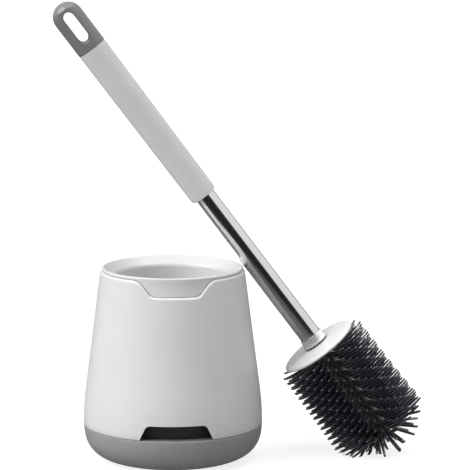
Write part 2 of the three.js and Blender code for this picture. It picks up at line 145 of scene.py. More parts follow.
def flowing(points, steps=4):
    """A smooth line through the points, which keeps its first and last."""
    line = []
    ends = [points[0], *points, points[-1]]
    for p0, p1, p2, p3 in zip(ends, ends[1:], ends[2:], ends[3:]):
        for k in range(steps):
            t = k / steps
            line.append(tuple(
                0.5 * (2 * b + (c - a) * t + (2 * a - 5 * b + 4 * c - d) * t * t
                       + (3 * b - a - 3 * c + d) * t ** 3)
                for a, b, c, d in zip(p0, p1, p2, p3)
            ))
    return [*line, points[-1]]


def half_round(radius, middle, half_turns, steps):
    """A half circle about (0, middle), begun after a number of half turns."""
    turns = [math.pi * (half_turns + i / steps) for i in range(steps + 1)]
    return [(radius * math.cos(turn), middle + radius * math.sin(turn)) for turn in turns]


def long_hole(half_width, low, high, steps=24):
    """A slot with a round end below and another above, as (across, up) points."""
    return [*half_round(half_width, high - half_width, 0, steps),
            *half_round(half_width, low + half_width, 1, steps)]


def round_foot(half_width, low, high, steps=24):
    """A strip with a round end below and a square one above, as (across, up) points."""
    return [(half_width, high), (-half_width, high),
            *half_round(half_width, low + half_width, 1, steps)]


def notch_depth(across):
    """How far the notch in the front of the rim is below it, at a distance from the middle."""
    across = abs(across)
    shoulder, flat, corner = NOTCH_SHOULDER, NOTCH_FLAT, NOTCH_CORNER
    if across >= shoulder + corner:
        return 0.0
    if across >= shoulder - corner:
        return corner * ((shoulder + corner - across) / 2 / corner) ** 2
    bend_start = flat + corner / 2
    bend_depth = NOTCH_DEPTH - corner / 2
    if across >= bend_start:
        share = (shoulder - corner - across) / (shoulder - corner - bend_start)
        return corner + share * (bend_depth - corner)
    if across >= flat - corner:
        t = math.sqrt(1 + 2 * (bend_start - across) / corner) - 1
        return bend_depth + corner * t - corner / 2 * t * t
    return NOTCH_DEPTH


# ---------- making ----------

def take_up(piece):
    """Makes this the only piece selected."""
    bpy.ops.object.select_all(action="DESELECT")
    piece.select_set(True)
    bpy.context.view_layer.objects.active = piece


def trace(name, points, closed):
    """Edges drawn from point to point, left in edit mode with all of them selected."""
    bpy.ops.object.select_all(action="DESELECT")
    bpy.ops.mesh.primitive_plane_add(size=MM, enter_editmode=True, location=(0, 0, 0))
    piece = bpy.context.object
    piece.name = name
    bpy.ops.mesh.merge(type="CENTER")
    bpy.ops.transform.translate(value=points[0])
    stops = [*points, points[0]] if closed else points
    for here, there in zip(stops, stops[1:]):
        bpy.ops.mesh.extrude_region_move(TRANSFORM_OT_translate={"value": there - here})
    bpy.ops.mesh.select_all(action="SELECT")
    bpy.ops.mesh.remove_doubles(threshold=MERGE * MM)
    return piece


def close_up():
    """Merges what meets, turns the faces outwards and leaves edit mode."""
    bpy.ops.mesh.select_all(action="SELECT")
    bpy.ops.mesh.remove_doubles(threshold=MERGE * MM)
    bpy.ops.mesh.normals_make_consistent(inside=False)
    bpy.ops.object.mode_set(mode="OBJECT")


def turned(name, outline, sides=96, closed=False):
    """A turned piece from its (radius, height) outline."""
    piece = trace(name, [Vector((r, 0, z)) * MM for r, z in outline], closed)
    bpy.ops.mesh.spin(steps=sides, angle=2 * math.pi, center=(0, 0, 0), axis=(0, 0, 1))
    close_up()
    return piece


def plate(name, outline, along, start, end):
    """A flat outline made thick: along Y it is drawn as (x, z), and along X as (y, z)."""
    if along == "Y":
        points = [Vector((a, start, b)) * MM for a, b in outline]
        depth = Vector((0, end - start, 0)) * MM
    else:
        points = [Vector((start, a, b)) * MM for a, b in outline]
        depth = Vector((end - start, 0, 0)) * MM
    piece = trace(name, points, True)
    bpy.ops.mesh.edge_face_add()
    bpy.ops.mesh.extrude_region_move(TRANSFORM_OT_translate={"value": depth})
    close_up()
    return piece


def solid_rod(name, radius, low, high, sides=96):
    return turned(name, [(0, low), (radius, low), (radius, high), (0, high)], sides)


def combine(piece, tool, how):
    """Cuts the tool from the piece, adds it, or keeps what they share."""
    take_up(piece)
    bpy.ops.object.modifier_add(type="BOOLEAN")
    modifier = piece.modifiers[-1]
    modifier.operation = how
    modifier.solver = "EXACT"
    modifier.object = tool
    bpy.ops.object.modifier_apply(modifier=modifier.name)
    bpy.data.objects.remove(tool)


def soften_edges(piece, width, segments, angle=35):
    """Rounds every edge that is sharper than an angle in degrees, as far as its faces allow."""
    take_up(piece)
    bpy.ops.object.modifier_add(type="BEVEL")
    modifier = piece.modifiers[-1]
    modifier.width = width * MM
    modifier.segments = segments
    modifier.limit_method = "ANGLE"
    modifier.angle_limit = math.radians(angle)
    bpy.ops.object.modifier_apply(modifier=modifier.name)


def flatten_round(piece, depth, power):
    """Presses a turned handle piece front and back to a soft rounded flat."""
    for vertex in piece.data.vertices:
        x, y = vertex.co.x / MM, vertex.co.y / MM
        width = math.hypot(x, y)
        if width < 0.001:
            continue
        half = min(depth / 2, width)
        across = (abs(x) / width / width) ** power + (abs(y) / width / half) ** power
        reach = across ** (-1 / power) / width
        vertex.co.x *= reach
        vertex.co.y *= reach


def copy_of(piece, name):
    """A copy with a mesh of its own."""
    again = piece.copy()
    again.data = piece.data.copy()
    again.name = name
    bpy.context.collection.objects.link(again)
    return again


def join_into(piece, others):
    """Makes the others part of the piece."""
    take_up(piece)
    for other in others:
        other.select_set(True)
    bpy.ops.object.join()


def put(piece, place):
    """Moves a piece to its place and leaves the place in its mesh."""
    piece.matrix_world = place
    take_up(piece)
    bpy.ops.object.transform_apply(location=True, rotation=True, scale=True)


def hand_over(piece, body, material, slot, *nodes, angle=32, leaning=False):
    """Finishes a piece: its shading, its material, its place and its body, and hides the CAD parts
    that it stands for.
    """
    if leaning:
        put(piece, ON_RIM)
    take_up(piece)
    bpy.ops.object.shade_smooth_by_angle(angle=math.radians(angle))
    piece.data.materials.clear()
    piece.data.materials.append(material)
    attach(piece, body)
    if nodes:
        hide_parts(*nodes)


# ---------- finishes ----------

def link(tree, source, target):
    tree.links.new(source, target)


def noise(tree, vector, scale, detail=2.0, roughness=0.5):
    """A cloudy pattern, about a metre over the scale in size."""
    node = tree.nodes.new("ShaderNodeTexNoise")
    node.inputs["Scale"].default_value = scale
    node.inputs["Detail"].default_value = detail
    node.inputs["Roughness"].default_value = roughness
    link(tree, vector, node.inputs["Vector"])
    return node.outputs["Fac"]


def between(tree, value, low, high, low_in=0.3, high_in=0.7):
    """Spreads a pattern's values between two others."""
    node = tree.nodes.new("ShaderNodeMapRange")
    node.inputs["From Min"].default_value = low_in
    node.inputs["From Max"].default_value = high_in
    node.inputs["To Min"].default_value = low
    node.inputs["To Max"].default_value = high
    link(tree, value, node.inputs["Value"])
    return node.outputs["Result"]


def blend_colours(tree, value, first, second):
    node = tree.nodes.new("ShaderNodeMix")
    node.data_type = "RGBA"
    node.inputs["A"].default_value = (*first, 1)
    node.inputs["B"].default_value = (*second, 1)
    link(tree, value, node.inputs["Factor"])
    return node.outputs["Result"]


def relief(tree, shader, height, depth, strength=1.0, under=None):
    """Bumps of a depth in metres, on top of an earlier relief if one is given."""
    node = tree.nodes.new("ShaderNodeBump")
    node.inputs["Strength"].default_value = strength
    node.inputs["Distance"].default_value = depth
    link(tree, height, node.inputs["Height"])
    if under:
        link(tree, under, node.inputs["Normal"])
    link(tree, node.outputs["Normal"], shader.inputs["Normal"])
    return node.outputs["Normal"]


def new_finish(name):
    """A new material with its tree, its shader and the place on the piece."""
    material = bpy.data.materials.new(name)
    material.use_nodes = True
    tree = material.node_tree
    shader = tree.nodes["Principled BSDF"]
    place = tree.nodes.new("ShaderNodeTexCoord").outputs["Object"]
    return material, tree, shader, place


def moulded_plastic(name, colour, roughness, grain=0.4, shade=0.96):
    """Injection-moulded plastic: a slow drift in its colour and gloss, and a fine grain."""
    material, tree, shader, place = new_finish(name)
    drift = between(tree, noise(tree, place, 26, 3), 0, 1)
    darker = tuple(part * shade for part in colour)
    link(tree, blend_colours(tree, drift, darker, colour), shader.inputs["Base Color"])
    gloss = between(tree, noise(tree, place, 140, 4), roughness - 0.05, roughness + 0.05)
    link(tree, gloss, shader.inputs["Roughness"])
    flow = relief(tree, shader, noise(tree, place, 60, 2), 0.00012, 0.35)
    relief(tree, shader, noise(tree, place, 2200, 2), 0.00003, grain, flow)
    shader.inputs["Specular IOR Level"].default_value = 0.5
    return material


def soft_rubber(name, colour, roughness, sheen=0.0, gloss=0.0, grain=0.5):
    """Rubber: matt and dusty with sheen, or wet-looking with gloss from a coat."""
    material, tree, shader, place = new_finish(name)
    drift = between(tree, noise(tree, place, 180, 4, 0.6), 0, 1)
    lighter = tuple(min(1, part * 1.7 + 0.004) for part in colour)
    link(tree, blend_colours(tree, drift, colour, lighter), shader.inputs["Base Color"])
    link(tree, between(tree, noise(tree, place, 420, 3), roughness - 0.07, roughness + 0.1),
         shader.inputs["Roughness"])
    relief(tree, shader, noise(tree, place, 1500, 3), 0.00004, grain)
    shader.inputs["Sheen Weight"].default_value = sheen
    shader.inputs["Coat Weight"].default_value = gloss
    shader.inputs["Coat Roughness"].default_value = 0.25
    shader.inputs["Coat IOR"].default_value = 1.5 + gloss / 2
    shader.inputs["Specular IOR Level"].default_value = 0.5 + gloss / 2
    return material


def drawn_steel(name, colour, roughness, turn):
    """Polished steel with the faint lines that drawing leaves along it, once turned upright."""
    material, tree, shader, place = new_finish(name)
    shader.inputs["Metallic"].default_value = 1.0
    upright = tree.nodes.new("ShaderNodeMapping")
    upright.inputs["Rotation"].default_value = turn
    link(tree, place, upright.inputs["Vector"])
    drawn = tree.nodes.new("ShaderNodeMapping")
    drawn.inputs["Scale"].default_value = (1, 1, 0.012)
    link(tree, upright.outputs["Vector"], drawn.inputs["Vector"])
    lines = noise(tree, drawn.outputs["Vector"], 1500, 3, 0.6)
    smudges = noise(tree, place, 55, 4, 0.6)
    darker = tuple(part * 0.93 for part in colour)
    tint = blend_colours(tree, between(tree, lines, 0, 1), darker, colour)
    link(tree, tint, shader.inputs["Base Color"])
    gloss = between(tree, smudges, roughness - 0.02, roughness + 0.03)
    link(tree, gloss, shader.inputs["Roughness"])
    relief(tree, shader, lines, 0.000006, 0.2)
    return material


ROD_TURN = ON_RIM.to_3x3().inverted().to_euler("XYZ")  # stands the leaning rod's pattern upright

shell_plastic = moulded_plastic("moulded white plastic", (0.84, 0.84, 0.85), 0.36)
# The cup is the shell's white plastic made darker, 0.78 against 0.84, as painted shade that keeps
# its flange, lit from above, from going white.
cup_plastic_painted_darker = moulded_plastic("white cup plastic with painted shade", (0.78, 0.78, 0.79), 0.34, grain=0.3)
disk_plastic = moulded_plastic("moulded white disk plastic", (0.88, 0.88, 0.88), 0.32, grain=0.3)
base_plastic = moulded_plastic("moulded grey base plastic", (0.37, 0.37, 0.372), 0.34)
tray_plastic = moulded_plastic(
    "moulded charcoal tray plastic", (0.06, 0.06, 0.062), 0.45, shade=0.8)
grip_plastic = moulded_plastic(
    "soft-touch pale grey plastic", (0.86, 0.862, 0.87), 0.42, grain=0.5)
cap_plastic = moulded_plastic(
    "satin mid grey plastic", (0.275, 0.276, 0.278), 0.22, grain=0.2, shade=0.93)
arm_plastic = moulded_plastic(
    "satin mid grey arm plastic", (0.34, 0.342, 0.346), 0.42, shade=0.93)
sheath_plastic = moulded_plastic(
    "moulded white sheath plastic", (0.93, 0.93, 0.935), 0.3, grain=0.3)
plug_plastic = moulded_plastic(
    "moulded black plug plastic", (0.012, 0.012, 0.014), 0.5, shade=0.7)
core_plastic = moulded_plastic(
    "moulded black core plastic", (0.010, 0.010, 0.012), 0.55, shade=0.7)
bristle_rubber = soft_rubber(
    "navy bristle rubber", (0.021, 0.025, 0.037), 0.30, sheen=0.05, gloss=1.0, grain=0.05)
pad_rubber = soft_rubber("dark pad rubber", (0.022, 0.023, 0.025), 0.78, sheen=0.2)
ring_rubber = soft_rubber("dark ring rubber", (0.018, 0.018, 0.020), 0.6, sheen=0.1)
rod_steel = drawn_steel("drawn rod steel", (0.66, 0.665, 0.675), 0.13, ROD_TURN)
collar_steel = drawn_steel("turned collar steel", (0.92, 0.92, 0.93), 0.52, ROD_TURN)
rivet_steel = drawn_steel("drawn rivet steel", (0.62, 0.63, 0.64), 0.3, ROD_TURN)


# ---------- holder ----------

def across_front(vertex):
    """Distance from the middle of the front, or None at the back."""
    if vertex.co.y >= 0:
        return None
    return FRONT_REACH * vertex.co.x / math.hypot(vertex.co.x, vertex.co.y)


def make_outer_shell():
    foot = SEAM_HEIGHT + GAP
    outside = [(holder_radius(z), z) for z in spread(foot + 0.5, RIM_HEIGHT - 1.4, 30)]
    inside = [(holder_radius(z) - SHELL_WALL, z) for z in spread(RIM_HEIGHT - 0.8, foot + 0.5, 30)]
    chamfer = [(0.02, 1.22), (0.14, 0.98), (0.5, 0.58), (0.86, 0.2), (1.15, 0.03), (1.4, 0)]
    lip = [*[(RIM_RADIUS - back, RIM_HEIGHT - down) for back, down in chamfer],
           (RIM_RADIUS - SHELL_WALL + 0.4, RIM_HEIGHT),
           (RIM_RADIUS - SHELL_WALL + 0.1, RIM_HEIGHT - 0.2)]
    edge = holder_radius(foot)
    hem = [(edge - SHELL_WALL + 0.3, foot), (edge - 0.55, foot), (edge - 0.16, foot + 0.14)]
    shell = turned("outer_shell_finish", [*outside, *lip, *inside, *hem], HOLDER_SIDES, True)
    low, high = RIM_HEIGHT - NOTCH_FADE, RIM_HEIGHT - 1.41
    for vertex in shell.data.vertices:
        z = vertex.co.z / MM
        across = across_front(vertex)
        if z <= low or across is None:
            continue
        drop = notch_depth(across) * min(1, (z - low) / (high - low))
        radius = math.hypot(vertex.co.x, vertex.co.y)
        out = radius + (holder_radius(z - drop) - holder_radius(z)) * MM
        vertex.co = Vector((vertex.co.x * out / radius, vertex.co.y * out / radius, (z - drop) * MM))
    below = 3
    slot_low, slot_high = SEAM_HEIGHT - below, SEAM_HEIGHT + VENT_HEIGHT
    low_half = VENT_FOOT_HALF + (VENT_FOOT_HALF - VENT_TOP_HALF) / VENT_HEIGHT * below
    slot = rounded([(-low_half, slot_low, 0), (low_half, slot_low, 0),
                    (VENT_TOP_HALF, slot_high, 3), (-VENT_TOP_HALF, slot_high, 3)], 8)
    combine(shell, plate("vent_cutter", slot, "Y", -80, 0), "DIFFERENCE")
    hand_over(shell, "shell", shell_plastic, "shell_white", "outer_shell")


def make_inner_cup():
    """The cup is a tapered bowl whose mouth rolls over into a flange that lies on the rim."""
    under = RIM_HEIGHT + GAP
    bowl_radius, bowl_foot = 40.3, 42
    mouth_radius, mouth_foot = 43.3, 135.0
    side = [(bowl_radius + (mouth_radius - bowl_radius) * share,
             bowl_foot + (mouth_foot - bowl_foot) * share) for share in spread(0, 1, 8)]
    roll = flowing([
        (mouth_radius, mouth_foot), (43.4, 138.2), (43.75, 139.9), (44.7, 141.2), (46.5, 142.5),
        (49.0, 144.4), (51.1, 146.0), (51.9, 146.38), (52.6, 146.2), (53.1, 145.65),
        (53.24, 144.95)], 5)
    apron = [(FLANGE_RADIUS, under + 0.8 - 0.1 * i) for i in range(1, 7)]
    hem = [(53.2, under + 0.08), (53.05, under), (52.1, under), (51.95, under + 0.08)]
    lining = [(LINING_RADIUS, under + 0.1 * i) for i in range(1, 6)]
    outer_foot = (42.0, 37.5)
    below = [*flowing([(51.3, under + 0.75), (50.2, under + 0.3), (48.2, 142.6), (46.2, 140.2),
                       (45.3, 137.6), (45.1, mouth_foot)], 3), outer_foot]
    floor = rounded([(*outer_foot, 0), (41.6, CUP_UNDERSIDE, 4), (6, CUP_UNDERSIDE, 0)], 6)
    bowl = rounded([(6, CUP_FLOOR, 0), (40.1, CUP_FLOOR, 6), (bowl_radius, bowl_foot, 0)], 8)
    outline = [(0, CUP_FLOOR), *bowl[:-1], *side[:-1], *roll, *apron, *hem, *lining, *below,
               *floor[1:], (0, CUP_UNDERSIDE)]
    cup = turned("inner_cup_finish", outline, HOLDER_SIDES)
    drop_tab(cup, under)
    drain_count, drain_reach = 6, 24
    hole = solid_rod("drain_cutter", 3, CUP_UNDERSIDE - 2, 35, 40)
    hole.data.transform(Matrix.Translation((drain_reach * MM, 0, 0)))
    holes = [copy_of(hole, "drain_cutter") for _ in range(drain_count - 1)]
    for i, other in enumerate(holes):
        put(other, Matrix.Rotation(math.radians(360 / drain_count * (i + 1)), 4, "Z"))
    join_into(hole, holes)
    combine(cup, hole, "DIFFERENCE")
    hand_over(cup, "cup", cup_plastic_painted_darker, "shell_white", "inner_cup", angle=40)


def drop_tab(cup, under):
    """Draws the flange's front edge down into the notch, which makes the lifting tab."""
    for vertex in cup.data.vertices:
        z = vertex.co.z / MM
        radius = math.hypot(vertex.co.x, vertex.co.y) / MM
        across = across_front(vertex)
        if radius < LINING_RADIUS - 0.05 or z > under + 0.85 or across is None:
            continue
        drop = max(0, notch_depth(abs(across) + 0.35) - 0.05)
        outer = radius > (LINING_RADIUS + FLANGE_RADIUS) / 2
        share = max(0, min(1, (under + 0.8 - z) / 0.8 if outer else (under + 0.55 - z) / 0.55))
        new_z = z - drop * share
        out = radius + share * (holder_radius(new_z) - RIM_RADIUS)
        vertex.co = Vector((vertex.co.x * out / radius, vertex.co.y * out / radius, new_z * MM))


def make_base_tray():
    """The base: a recess for the pad below, and a ledge inside its rim that holds the tray."""
    under, recess_top = 0.6, 2.3
    recess = PAD_RADIUS + 0.5
    wall, floor_top = 2.2, 4.6
    ledge_radius, ledge_foot = 57.8, 24.6
    rise = [under + (SEAM_HEIGHT - 0.5 - under) * (i / 30) ** 1.9 for i in range(31)]
    outside = [(holder_radius(z), z) for z in rise]
    seam = holder_radius(SEAM_HEIGHT)
    lip = [(seam - 0.1, SEAM_HEIGHT - 0.22), (seam - 0.32, SEAM_HEIGHT - 0.05),
           (seam - 0.6, SEAM_HEIGHT)]
    ledge = rounded([(seam - 3, SEAM_HEIGHT, 0), (ledge_radius, SEAM_HEIGHT, 0.5),
                     (ledge_radius, ledge_foot, 0.5), (61, ledge_foot, 0)], 4)
    inside = [(holder_radius(z) - wall, z) for z in spread(24.4, 5.4, 16)]
    inner, inner_foot = inside[-1]
    floor = rounded([(inner, inner_foot, 0), (inner - 4, floor_top, 2), (20, floor_top, 0)], 4)
    start = [(0, recess_top), (recess - 0.4, recess_top), (recess, 1.9), (recess, 0.9),
             (recess + 0.4, under)]
    outline = [*start, *outside, *lip, *ledge, *inside, *floor[1:], (0, floor_top)]
    base = turned("base_tray_finish", outline, 256)
    lug_out = seam - SHELL_WALL - 1.5
    thick, wide, tall = 1.6, 12, 5
    bpy.ops.object.select_all(action="DESELECT")
    bpy.ops.mesh.primitive_cube_add(size=MM, enter_editmode=True, location=(0, 0, 0))
    bpy.ops.transform.resize(value=(thick, wide, tall))
    bpy.ops.transform.translate(value=Vector((lug_out - thick / 2, 0, SEAM_HEIGHT + 1.5)) * MM)
    bpy.ops.mesh.bevel(offset=0.45 * MM, segments=3)
    bpy.ops.object.mode_set(mode="OBJECT")
    lug = bpy.context.object
    lugs = [lug, *[copy_of(lug, "base_lug") for _ in range(3)]]
    for i, each in enumerate(lugs):
        put(each, Matrix.Rotation(math.radians(45 + 90 * i), 4, "Z"))
    join_into(base, lugs)
    hand_over(base, "base", base_plastic, "base_grey", "base_tray")


def make_drip_tray():
    outer, top = TRAY_RADIUS, TRAY_RIM_HEIGHT
    inner = outer - 1.6
    underside, floor_top = 4.9, 6.5
    corner = flowing([(46.0, underside), (50.6, 5.5), (54.2, 8.0), (56.5, 12.0), (outer, 17.0)], 5)
    rim = rounded([(outer, top - 1.2, 0), (outer, top, 0.5),
                   (inner, top, 0.5), (inner, top - 1.2, 0)], 4)
    hollow = flowing([(inner, 17.0), (54.9, 12.6), (52.8, 9.2), (49.8, 7.1), (45.6, floor_top)], 5)
    channel = [(40, floor_top), (39.4, floor_top - 0.3), (38, floor_top - 0.3), (37.4, floor_top)]
    outline = [(0, underside), (44, underside), *corner, *rim, *hollow, *channel, (0, floor_top)]
    tray = turned("drip_tray_finish", outline, 160)
    hand_over(tray, "base", tray_plastic, "tray_dark", "drip_tray")


def make_anti_slip_pad():
    """A rubber disc with ring grooves in the face that it stands on."""
    groove, groove_count, pitch = 0.5, 5, 5
    tread = []
    for i in range(groove_count):
        inner = 5 + pitch * i
        tread += [(inner, 0.0), (inner + 3.3, 0.0), (inner + 3.6, groove), (inner + 4.7, groove)]
    edge = [(PAD_RADIUS - 0.8, 0.0), (PAD_RADIUS - 0.2, 0.25), (PAD_RADIUS, 0.7),
            (PAD_RADIUS, PAD_TOP - 0.4), (PAD_RADIUS - 0.3, PAD_TOP)]
    outline = [(0, groove), (4.7, groove), *tread[:-2], *edge, (0, PAD_TOP)]
    pad = turned("anti_slip_pad_finish", outline, 96)
    hand_over(pad, "base", pad_rubber, "rubber_dark", "anti_slip_pad")


# ---------- rod, handle and tweezers ----------

def make_rod_tube():
    outline = rounded([
        (BORE_RADIUS, ROD_FOOT, 0.2), (ROD_RADIUS, ROD_FOOT, 0.25),
        (ROD_RADIUS, ROD_TOP, 0.25), (BORE_RADIUS, ROD_TOP, 0.2),
    ], 3)
    tube = turned("rod_tube_finish", outline, 128, True)
    opening = round_foot(WINDOW_HALF_WIDTH, WINDOW_END, WINDOW_TOP)
    combine(tube, plate("window_cutter", opening, "X", -12, 0), "DIFFERENCE")
    hand_over(tube, "brush", rod_steel, "polished_steel", "rod_tube", leaning=True)


def make_tweezer_sheath():
    """A liner in the tube, with a frame that fills the window and a channel for the arms."""
    liner_radius = BORE_RADIUS - GAP
    liner_foot, liner_top = WINDOW_END - 9, CAP_FOOT - 34
    liner = turned("tweezer_sheath_finish", rounded([
        (0, liner_foot, 0), (liner_radius, liner_foot, 0.8),
        (liner_radius, liner_top, 0.4), (0, liner_top, 0),
    ], 4), 128)
    outer, inner = 11.25, 2.265
    shape = round_foot(WINDOW_HALF_WIDTH - GAP, WINDOW_END + GAP, GRIP_FOOT - GAP)
    raised = solid_rod("sheath_frame", ROD_RADIUS + 0.2, WINDOW_END - 1, GRIP_FOOT, 128)
    combine(raised, plate("frame_outline", shape, "X", -outer, -inner), "INTERSECT")
    combine(liner, raised, "UNION")
    channel = round_foot(ARM_HALF_WIDTH + GAP, ARM_TIP - 1.3, ROD_TOP)
    combine(liner, plate("arm_channel", channel, "X", -outer, outer), "DIFFERENCE")
    soften_edges(liner, 0.22, 2)
    hand_over(liner, "brush", sheath_plastic, "sheath_white", "tweezer_sheath", leaning=True)


def make_grip_sleeve():
    foot_half, top_half = ROD_RADIUS + 2.3, ROD_RADIUS + 3.15
    foot = rounded([
        (foot_half - 2.2, GRIP_FOOT, 0), (foot_half - 0.45, GRIP_FOOT, 1.1),
        (foot_half, GRIP_FOOT + 2.8, 1.5), (foot_half + 0.02, GRIP_FOOT + 8, 0),
    ], 6)
    side = [(foot_half + (top_half - foot_half) * share, GRIP_FOOT + GRIP_LENGTH * share)
            for share in spread(0.1, 0.99, 18)]
    top = [(top_half, GRIP_TOP - 0.4), (top_half - 0.12, GRIP_TOP - 0.1),
           (top_half - 0.4, GRIP_TOP)]
    outline = [(0, GRIP_FOOT), *foot, *side, *top, (0, GRIP_TOP)]
    grip = turned("grip_sleeve_finish", outline, 144)
    flatten_round(grip, HANDLE_DEPTH, HANDLE_POWER)
    bore = solid_rod("grip_bore", ROD_RADIUS + GAP, GRIP_FOOT - 2, GRIP_TOP + 2, 96)
    combine(grip, bore, "DIFFERENCE")
    hand_over(grip, "brush", grip_plastic, "grip_grey", "grip_sleeve", leaning=True)


def make_end_cap():
    """The cap: a domed end with its hanging hole, a stem in the tube, a tongue for the arms."""
    half = CAP_HALF_WIDTH
    middle = CAP_END - half
    dome = [(half * math.cos(math.radians(a)), middle + half * math.sin(math.radians(a)))
            for a in range(0, 90, 5)]
    foot = [(half - 0.5, CAP_FOOT), (half - 0.14, CAP_FOOT + 0.12), (half, CAP_FOOT + 0.45)]
    side = [(half, z) for z in spread(CAP_FOOT + 3, middle - 2, 10)]
    cap = turned("end_cap_finish", [(0, CAP_FOOT), *foot, *side, *dome, (0, CAP_END)], 144)
    flatten_round(cap, HANDLE_DEPTH, HANDLE_POWER)
    combine(cap, hanging_hole(), "DIFFERENCE")
    stem_radius, stem_foot = BORE_RADIUS - GAP, CAP_FOOT - 8.01
    groove_radius, groove_low, groove_high = 6.1, CAP_FOOT - 5.1, CAP_FOOT - 3.3
    stem = turned("cap_stem", rounded([
        (0, stem_foot, 0), (stem_radius, stem_foot, 0.5), (stem_radius, groove_low, 0.2),
        (groove_radius, groove_low, 0.2), (groove_radius, groove_high, 0.2),
        (stem_radius, groove_high, 0.2), (stem_radius, CAP_FOOT + 1, 0), (0, CAP_FOOT + 1, 0),
    ], 3), 96)
    combine(cap, stem, "UNION")
    tongue_half = ARM_INNER_FACE - 0.4
    tongue_low, tongue_high = CAP_FOOT - 28, CAP_FOOT - 7
    tongue = plate("cap_tongue", rounded([
        (-tongue_half, tongue_low, 1), (tongue_half, tongue_low, 1),
        (tongue_half, tongue_high, 0), (-tongue_half, tongue_high, 0),
    ], 4), "Y", -ARM_HALF_WIDTH, ARM_HALF_WIDTH)
    combine(cap, tongue, "UNION")
    combine(cap, rivet_space(), "DIFFERENCE")
    hand_over(cap, "tweezers", cap_plastic, "cap_grey", "end_cap", leaning=True)


def hanging_hole():
    """The hole through the cap from front to back, flared where it meets each face."""
    high = CAP_END - HOLE_FROM_END
    low = high - HOLE_LENGTH
    face = HANDLE_DEPTH / 2
    flare = [(face + 1.5, 1.2), (face - 0.1, 0.36), (face - 0.35, 0.16), (face - 0.7, 0.05),
             (face - 1.0, 0.0)]
    sections = [(-y, out) for y, out in flare] + [(y, out) for y, out in reversed(flare)]
    y, out = sections[0]
    ring = long_hole(HOLE_HALF_WIDTH + out, low - out, high + out)
    cutter = trace("hole_cutter", [Vector((a, y, b)) * MM for a, b in ring], True)
    bpy.ops.mesh.edge_face_add()
    centre = Vector((0, 0, (low + high) / 2)) * MM
    for (y, out), (next_y, next_out) in zip(sections, sections[1:]):
        step = (0, (next_y - y) * MM, 0)
        bpy.ops.mesh.extrude_region_move(TRANSFORM_OT_translate={"value": step})
        across = (HOLE_HALF_WIDTH + next_out) / (HOLE_HALF_WIDTH + out)
        along = (HOLE_LENGTH / 2 + next_out) / (HOLE_LENGTH / 2 + out)
        bpy.ops.transform.resize(value=(across, 1, along), center_override=centre)
    close_up()
    return cutter


def rivet_space():
    space = solid_rod("rivet_space", RIVET_SPACE_RADIUS, -10, 10, 32)
    place = Matrix.Translation((0, 0, RIVET_HEIGHT * MM)) @ Matrix.Rotation(math.pi / 2, 4, "Y")
    put(space, place)
    return space


def make_tweezer_arms():
    """One arm with its grooved tip, and its mirror image."""
    arm = solid_rod("tweezer_arm_right_finish", ARM_RADIUS, ARM_TIP, ARM_ROOT, 128)
    face = ARM_INNER_FACE
    outline = round_foot(ARM_HALF_WIDTH, ARM_TIP, ARM_ROOT)
    combine(arm, plate("arm_outline", outline, "X", face, ARM_RADIUS + 1), "INTERSECT")
    for i in range(TOOTH_COUNT):
        low = ARM_TIP + 2 + TOOTH_PITCH * i
        groove = [(face - 1, low - 0.4), (face + 0.7, low + 0.8), (face - 1, low + 2)]
        cutter = plate("tooth_groove", groove, "Y", -ARM_RADIUS, ARM_RADIUS)
        combine(arm, cutter, "DIFFERENCE")
    combine(arm, rivet_space(), "DIFFERENCE")
    soften_edges(arm, 0.3, 3)
    other = copy_of(arm, "tweezer_arm_left_finish")
    take_up(other)
    bpy.ops.object.mode_set(mode="EDIT")
    bpy.ops.mesh.select_all(action="SELECT")
    bpy.ops.transform.mirror(constraint_axis=(True, False, False), center_override=(0, 0, 0))
    close_up()
    hand_over(arm, "arm_right", arm_plastic, "cap_grey", "tweezer_arm_right", leaning=True)
    hand_over(other, "arm_left", arm_plastic, "cap_grey", "tweezer_arm_left", leaning=True)


def make_rod_collar():
    inner, outer, foot = ROD_RADIUS + GAP, ROD_RADIUS + 1.7, ROD_FOOT
    top = foot + 6.5
    outline = rounded([
        (inner, foot, 0.1), (outer, foot, 0.25), (outer, foot + 1.1, 0.25),
        (outer - 0.55, foot + 2.1, 0.6), (inner + 0.45, top, 0.25), (inner, top, 0.1),
    ], 4)
    collar = turned("rod_collar_finish", outline, 128, True)
    hand_over(collar, "brush", collar_steel, "polished_steel", "rod_collar", leaning=True)


# ---------- head ----------

def make_splash_disk():
    rim, bore = DISK_RADIUS, 4.4
    top = flowing([(bore, 0), (11.5, -0.02), (rim - 13.5, -0.25), (rim - 8, -0.75),
                   (rim - 3.5, -1.25), (rim - 1.2, -1.75), (rim - 0.25, -2.4)], 4)
    edge = flowing([(rim, -3.0), (rim - 0.2, -3.6), (rim - 0.9, -4.1),
                    (rim - 3, -DISK_THICKNESS)], 4)
    disk = turned("splash_disk_finish", [*top, *edge, (bore, -DISK_THICKNESS)], 160, True)
    hand_over(disk, "head", disk_plastic, "shell_white", "splash_disk", leaning=True)


